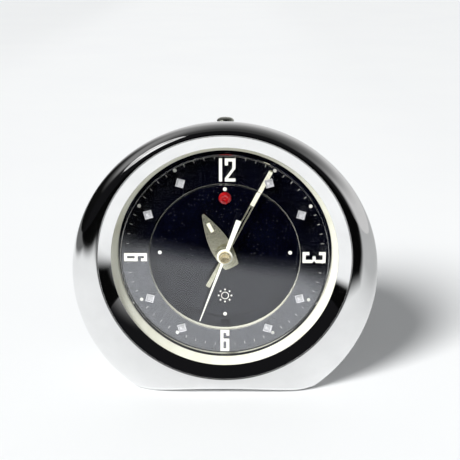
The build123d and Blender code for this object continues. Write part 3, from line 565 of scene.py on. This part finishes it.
# ---- case, bezel, crystal, rehaut ----
def build_case():
    finish_piece(case_skin(), "case", "chrome_case", "case_shell")
    seat = CRYSTAL_FRONT + 0.02
    bezel = [(46.9, 7.6), (46.9, 12.2), (42.2, 9.62), (42.2, seat), (43.7, seat), (46.2, 10.9), (46.2, 7.6)]
    finish_piece(lathe("bezel_skin", rounded(bezel, [0.1, 0.22, 0.2, 0.05, 0.1, 0.1, 0.1], 7), segments=360),
                 "case", "chrome_bezel", "bezel_ring")
    glass = [(0, CRYSTAL_BACK), (BAND_IN, CRYSTAL_BACK), (BAND_IN, BAND_BACK), (BAND_OUT, BAND_BACK),
             (BAND_OUT, CRYSTAL_BACK), (CRYSTAL_R, CRYSTAL_BACK), (CRYSTAL_R, CRYSTAL_FRONT),
             (0, CRYSTAL_FRONT)]
    glass = rounded(glass, [0, 0.12, 0.16, 0.2, 0.12, 0.1, 0.1, 0])
    glass_piece = lathe("crystal_moulding", glass, segments=360)
    finish_piece(glass_piece, "case", "crystal", "crystal")
    glass_piece.visible_shadow = False
    glass_piece.visible_diffuse = False
    film = [(BAND_IN + 0.35, FILM_Z + 0.02), (BAND_IN + 0.35, FILM_Z), (BAND_OUT - 0.35, FILM_Z),
            (BAND_OUT - 0.35, FILM_Z + 0.02)]
    film_piece = lathe("band_film", film, segments=360)
    finish_piece(film_piece, "case", "crystal")
    film_piece.data.materials[0] = MATERIALS["band_film"]
    film_piece.visible_shadow = False
    film_piece.visible_diffuse = False
    ring = [(39.9, 0.02), (40.0, 4.4), (42.7, CRYSTAL_BACK - 0.02), (46.1, CRYSTAL_BACK - 0.02), (46.1, 7.2),
            (43.6, 7.2), (41.4, 4.2), (41.2, 0.02)]
    ring = rounded(ring, [0.1, 0.5, 0.2, 0.2, 0.2, 0.2, 0.2, 0.1])
    finish_piece(lathe("rehaut_moulding", ring, segments=360), "case", "cream_plastic", "rehaut_ring")


# ---- hands ----
def build_hands():
    side = bezier([(2.9, -5.6), (3.75, -1.0), (3.95, 3.5), (3.3, 8.5), (1.85, 13.6), (0.62, 17.2)])
    tip = [(0.62 * math.cos(t), 17.2 + 0.42 * math.sin(t)) for t in (0.5, 1.0, 1.3)]
    leaf = mirrored([(0.001, -5.95), (1.5, -5.87)] + side + tip)
    window = [(-0.68, 9.9), (0.68, 9.9), (0.68, 13.7), (-0.68, 13.7)]
    finish_piece(flat_curve("hour_leaf", [leaf, window, circle_loop(1.77)], 2.0, 2.35, 0.12, HOUR_ANGLE),
                 "hour_hand_group", "hand_nickel", "hour_hand")
    baton = mirrored([(0.9, -14.2), (0.62, -2.0), (0.85, 6.0), (0.85, 36.15), (0.78, 36.5), (0.55, 36.8),
                      (0.25, 36.97)])
    strip = [(-0.6, 22.0), (0.6, 22.0), (0.6, 36.2), (-0.6, 36.2)]
    slot = [(-0.3, 5.5), (0.3, 5.5), (0.3, 21.2), (-0.3, 21.2)]
    finish_piece(flat_curve("minute_baton", [baton, strip, slot], 3.3, 3.65, 0.1, MINUTE_ANGLE),
                 "minute_hand_group", "hand_nickel", "minute_hand")
    needle = mirrored([(1.0, -15.0), (0.75, -2.0), (0.55, 2.0), (0.2, 27.4)])
    finish_piece(flat_curve("seconds_needle", [needle], 5.4, 5.7, 0.07, SECOND_ANGLE),
                 "seconds_group", "hand_white", "second_hand")


def build_hubs():
    def hub(name, outer, inner, low, high, body, slot):
        profile = [(inner, low), (outer, low), (outer, high), (inner, high)]
        finish_piece(lathe(name, rounded(profile, [0.02, 0.1, 0.3, 0.1], 6), segments=128), body, slot)

    hub("hour_hub", 2.6, 1.77, 2.02, 2.75, "hour_hand_group", "hand_nickel")
    hub("minute_hub", 3.6, 1.37, 3.28, 3.95, "minute_hand_group", "hand_nickel")
    hub("seconds_hub", 2.95, 0.52, 5.35, 5.95, "seconds_group", "hand_white")
    cap = [(0, 6.5), (0.45, 6.58), (1.15, 6.9), (1.55, 7.22), (1.95, 7.28), (2.25, 6.95), (2.25, 5.9),
           (0, 5.9)]
    finish_piece(lathe("turned_cap", rounded(cap, [0, 0.15, 0.1, 0.15, 0.2, 0.2, 0.05, 0], 5), segments=128),
                 "seconds_group", "hand_brass", "second_hand_cap")


def turned_loft(rings, centre, sides, phase):
    """Vertices and faces of stacked polygons (radius, z), closed behind and pointed in front."""
    verts, faces = [], []
    for radius, z in rings[:-1]:
        for k in range(sides):
            a = math.radians(phase) + 2 * math.pi * k / sides
            verts.append(place(centre[0] + radius * math.cos(a), centre[1] + radius * math.sin(a), z))
    top = len(verts)
    verts.append(place(centre[0], centre[1], rings[-1][1]))
    for ring in range(len(rings) - 2):
        for k in range(sides):
            m = (k + 1) % sides
            low, high = ring * sides, (ring + 1) * sides
            faces.append([low + k, low + m, high + m, high + k])
    last = (len(rings) - 2) * sides
    faces += [[last + k, last + (k + 1) % sides, top] for k in range(sides)]
    faces.append(list(range(sides))[::-1])
    return verts, faces


def build_markers():
    """Silvered square facets behind the crystal at the eight plain hours."""
    verts, faces = [], []
    diagonal = math.sqrt(2)
    rings = [(1.5, 4.43), (1.5, 4.985), (1.22, 4.985), (1.02, 4.47), (0, 4.95)]
    for angle in [a for a in range(0, 360, 30) if a % 90]:
        a = math.radians(angle)
        centre = (MARKER_R * math.cos(a), MARKER_R * math.sin(a))
        more, more_faces = turned_loft([(half * diagonal, z) for half, z in rings], centre, 4, angle)
        faces += [[v + len(verts) for v in face] for face in more_faces]
        verts += more
    finish_piece(new_object("marker_facets", verts, faces, 5), "case", "faceted_silver", "hour_markers")


def build_jewel():
    rings = [(2.35, 0.05), (2.4, 0.4), (2.05, 0.85), (1.35, 1.18), (0.7, 0.98), (0, 1.15)]
    verts, faces = turned_loft(rings, (0, JEWEL_Y), 12, 15)
    finish_piece(new_object("jewel_facets", verts, faces, 5), "case", "red_jewel", "dial_jewel")


# ---- stage, light, camera ----
ROOM_SLOPE = (0.8, 0.6)     # x and y share of the direction in which the reflected room gets brighter
RIGHT_WALL = [(0.0, 0.66), (0.2, 0.64), (0.34, 0.50), (0.5, 0.28), (0.64, 0.17), (0.8, 0.09), (0.9, 0.05)]
LEFT_WALL = [(0.0, 0.004), (0.30, 0.006), (0.42, 0.08), (0.52, 0.25), (0.64, 0.24), (0.78, 0.13), (0.9, 0.05)]
PLAIN_STRENGTH = 0.30
TABLE_EDGES = [(0.5, -0.175), (-0.33, -0.26), (-0.62, -0.05)]       # slope and offset of its three stretches
CARD_HEIGHT = 0.0006
WINDOW_LOW = [(-47, 27), (-60, 27), (-72, 32), (-85, 39), (-98, 49), (-106, 58)]    # azimuth, elevation
WINDOW_HIGH = [(-97, 65), (-72, 68), (-50, 62), (-42, 50), (-41, 38), (-42, 30)]
WINDOW_DISTANCE = 1.6
CAMERA_AZIMUTH, CAMERA_ELEVATION, CAMERA_DISTANCE = math.radians(0.77), math.radians(17.19), 0.375
CAMERA_LENS = 77.2
LOOK_AT = place(1.9, 8.78, 0)


def build_floor():
    m = Shader("studio_floor", (0.90, 0.91, 0.91), roughness=0.55)
    cloud = m.noise(6, 3)
    m.color(m.mix(m.ramp(cloud, [(0.3, 0.0), (0.7, 1.0)]), (0.90, 0.91, 0.91), (0.885, 0.895, 0.90)))
    half, near, far = 3.0, -3.0, 4.0
    corners = [(-half, near, 0), (half, near, 0), (half, far, 0), (-half, far, 0)]
    floor = new_object("studio_floor", corners, [[0, 1, 2, 3]])
    floor.data.materials.append(m.material)
    # Painted reflection: a near-black sheet just over the floor that only mirrors and the crystal see. It
    # paints shade beyond the table's edge, darker towards the left, and paints the clock's shadow on the
    # table to the right.
    dark = Shader("mirror_shade_sheet", (0.002, 0.002, 0.002), roughness=1.0, Specular_IOR_Level=0.0)
    x, y, _ = dark.axes()
    front, left_end, right_end = (dark.line(x, slope, offset) for slope, offset in TABLE_EDGES)
    edge = dark.math("MINIMUM", dark.math("MAXIMUM", front, left_end), right_end)
    fade = dark.line(dark.math("ABSOLUTE", x), 0.35, 0.03)
    shade_beyond_table = dark.step(dark.math("DIVIDE", dark.math("SUBTRACT", edge, y), fade), -0.5, 0.6)
    # Painted shadow for mirrors: the clock's shadow on the table, darker towards the right.
    right = dark.math("MULTIPLY", dark.step(x, 0.04, 0.21), 0.44)
    # Painted shade for mirrors: darker towards the left.
    left = dark.math("MULTIPLY", dark.step(x, -0.26, -0.44), 0.82)
    dark.link(dark.math("MAXIMUM", shade_beyond_table, dark.math("MAXIMUM", left, right)), dark.bsdf.inputs["Alpha"])
    corners = [(-half, near, CARD_HEIGHT), (half, near, CARD_HEIGHT), (half, half, CARD_HEIGHT),
               (-half, half, CARD_HEIGHT)]
    card = new_object("mirror_shade_card", corners, [[0, 1, 2, 3]])
    card.data.materials.append(dark.material)
    card.visible_camera = False
    card.visible_diffuse = False
    card.visible_shadow = False


def build_world():
    """Bright even room for the eye and for matt surfaces; mirrors see a dim one, lit low on the right."""
    world = bpy.data.worlds.new("studio")
    bpy.context.scene.world = world
    world.use_nodes = True
    world.cycles.sampling_method = "NONE"
    world.node_tree.nodes.clear()
    room = Graph(world.node_tree, "Generated")
    x, y, z = room.axes()
    sideways, backwards = room.math("MULTIPLY", x, ROOM_SLOPE[0]), room.math("MULTIPLY", y, ROOM_SLOPE[1])
    right_rear = room.math("ADD", sideways, backwards)
    right = room.ramp(z, RIGHT_WALL)
    left = room.ramp(z, LEFT_WALL)
    left = room.mix(room.step(y, -0.2, 0.2), (0.008, 0.008, 0.009), left)
    plain = room.node("Background")
    plain.inputs["Color"].default_value = (0.96, 0.98, 1.0, 1.0)
    plain.inputs["Strength"].default_value = PLAIN_STRENGTH
    dim = room.node("Background")
    room.link(room.mix(room.step(right_rear, 0.05, 0.5), left, right), dim.inputs["Color"])
    path = room.node("LightPath")
    either = room.math("MAXIMUM", path.outputs["Is Glossy Ray"], path.outputs["Is Transmission Ray"])
    mixed = room.node("MixShader")
    out = room.node("OutputWorld")
    room.link(either, mixed.inputs["Fac"])
    room.link(plain.outputs["Background"], mixed.inputs[1])
    room.link(dim.outputs["Background"], mixed.inputs[2])
    room.link(mixed.outputs["Shader"], out.inputs["Surface"])


def build_window():
    """A far bright shape high at the front left that only mirrors see."""
    m = Shader("window_glow", (0, 0, 0), roughness=1.0)
    uneven = m.noise(3.0, 2)
    m.bsdf.inputs["Emission Strength"].default_value = 1.15
    m.link(m.ramp(uneven, [(0.3, 0.35), (0.6, 1.0)], smooth=True), m.bsdf.inputs["Emission Color"])
    clock = place(0, 0, 0)
    rim = []
    for azimuth, elevation in WINDOW_LOW + WINDOW_HIGH:
        a, e = math.radians(azimuth), math.radians(elevation)
        towards = Vector((math.sin(a) * math.cos(e), -math.cos(a) * math.cos(e), math.sin(e)))
        rim.append(clock + WINDOW_DISTANCE * towards)
    faces = [[n, n + 1, 10 - n, 11 - n] for n in range(5)]
    window = new_object("window_glow", rim, faces)
    window.data.materials.append(m.material)
    window.visible_camera = False
    window.visible_diffuse = False
    window.visible_shadow = False


def build_sun(name, direction, spread, strength):
    """Broad soft light that falls evenly over the whole floor."""
    data = bpy.data.lights.new(name, "SUN")
    data.energy = strength
    data.angle = math.radians(spread)
    light = bpy.data.objects.new(name, data)
    bpy.context.scene.collection.objects.link(light)
    light.rotation_euler = Vector(direction).to_track_quat("Z", "Y").to_euler()
    light.visible_glossy = False
    light.visible_transmission = False


def build_camera():
    azimuth, elevation = CAMERA_AZIMUTH, CAMERA_ELEVATION
    data = bpy.data.cameras.new("camera")
    data.lens = CAMERA_LENS
    data.clip_start = 0.01
    data.clip_end = 20
    camera = bpy.data.objects.new("camera", data)
    bpy.context.scene.collection.objects.link(camera)
    towards = Vector((math.sin(azimuth), -math.cos(elevation) * math.cos(azimuth), math.sin(elevation)))
    camera.location = place(0, 0, 0) + CAMERA_DISTANCE * towards
    camera.rotation_euler = (LOOK_AT - camera.location).to_track_quat("-Z", "Y").to_euler()
    bpy.context.scene.camera = camera


build_case()
build_hands()
build_hubs()
build_markers()
build_jewel()
build_floor()
build_world()
build_window()
build_sun("key_left", (-0.50, -0.74, 0.62), 20, 4.75)
build_camera()
bpy.context.scene.view_settings.view_transform = "Standard"
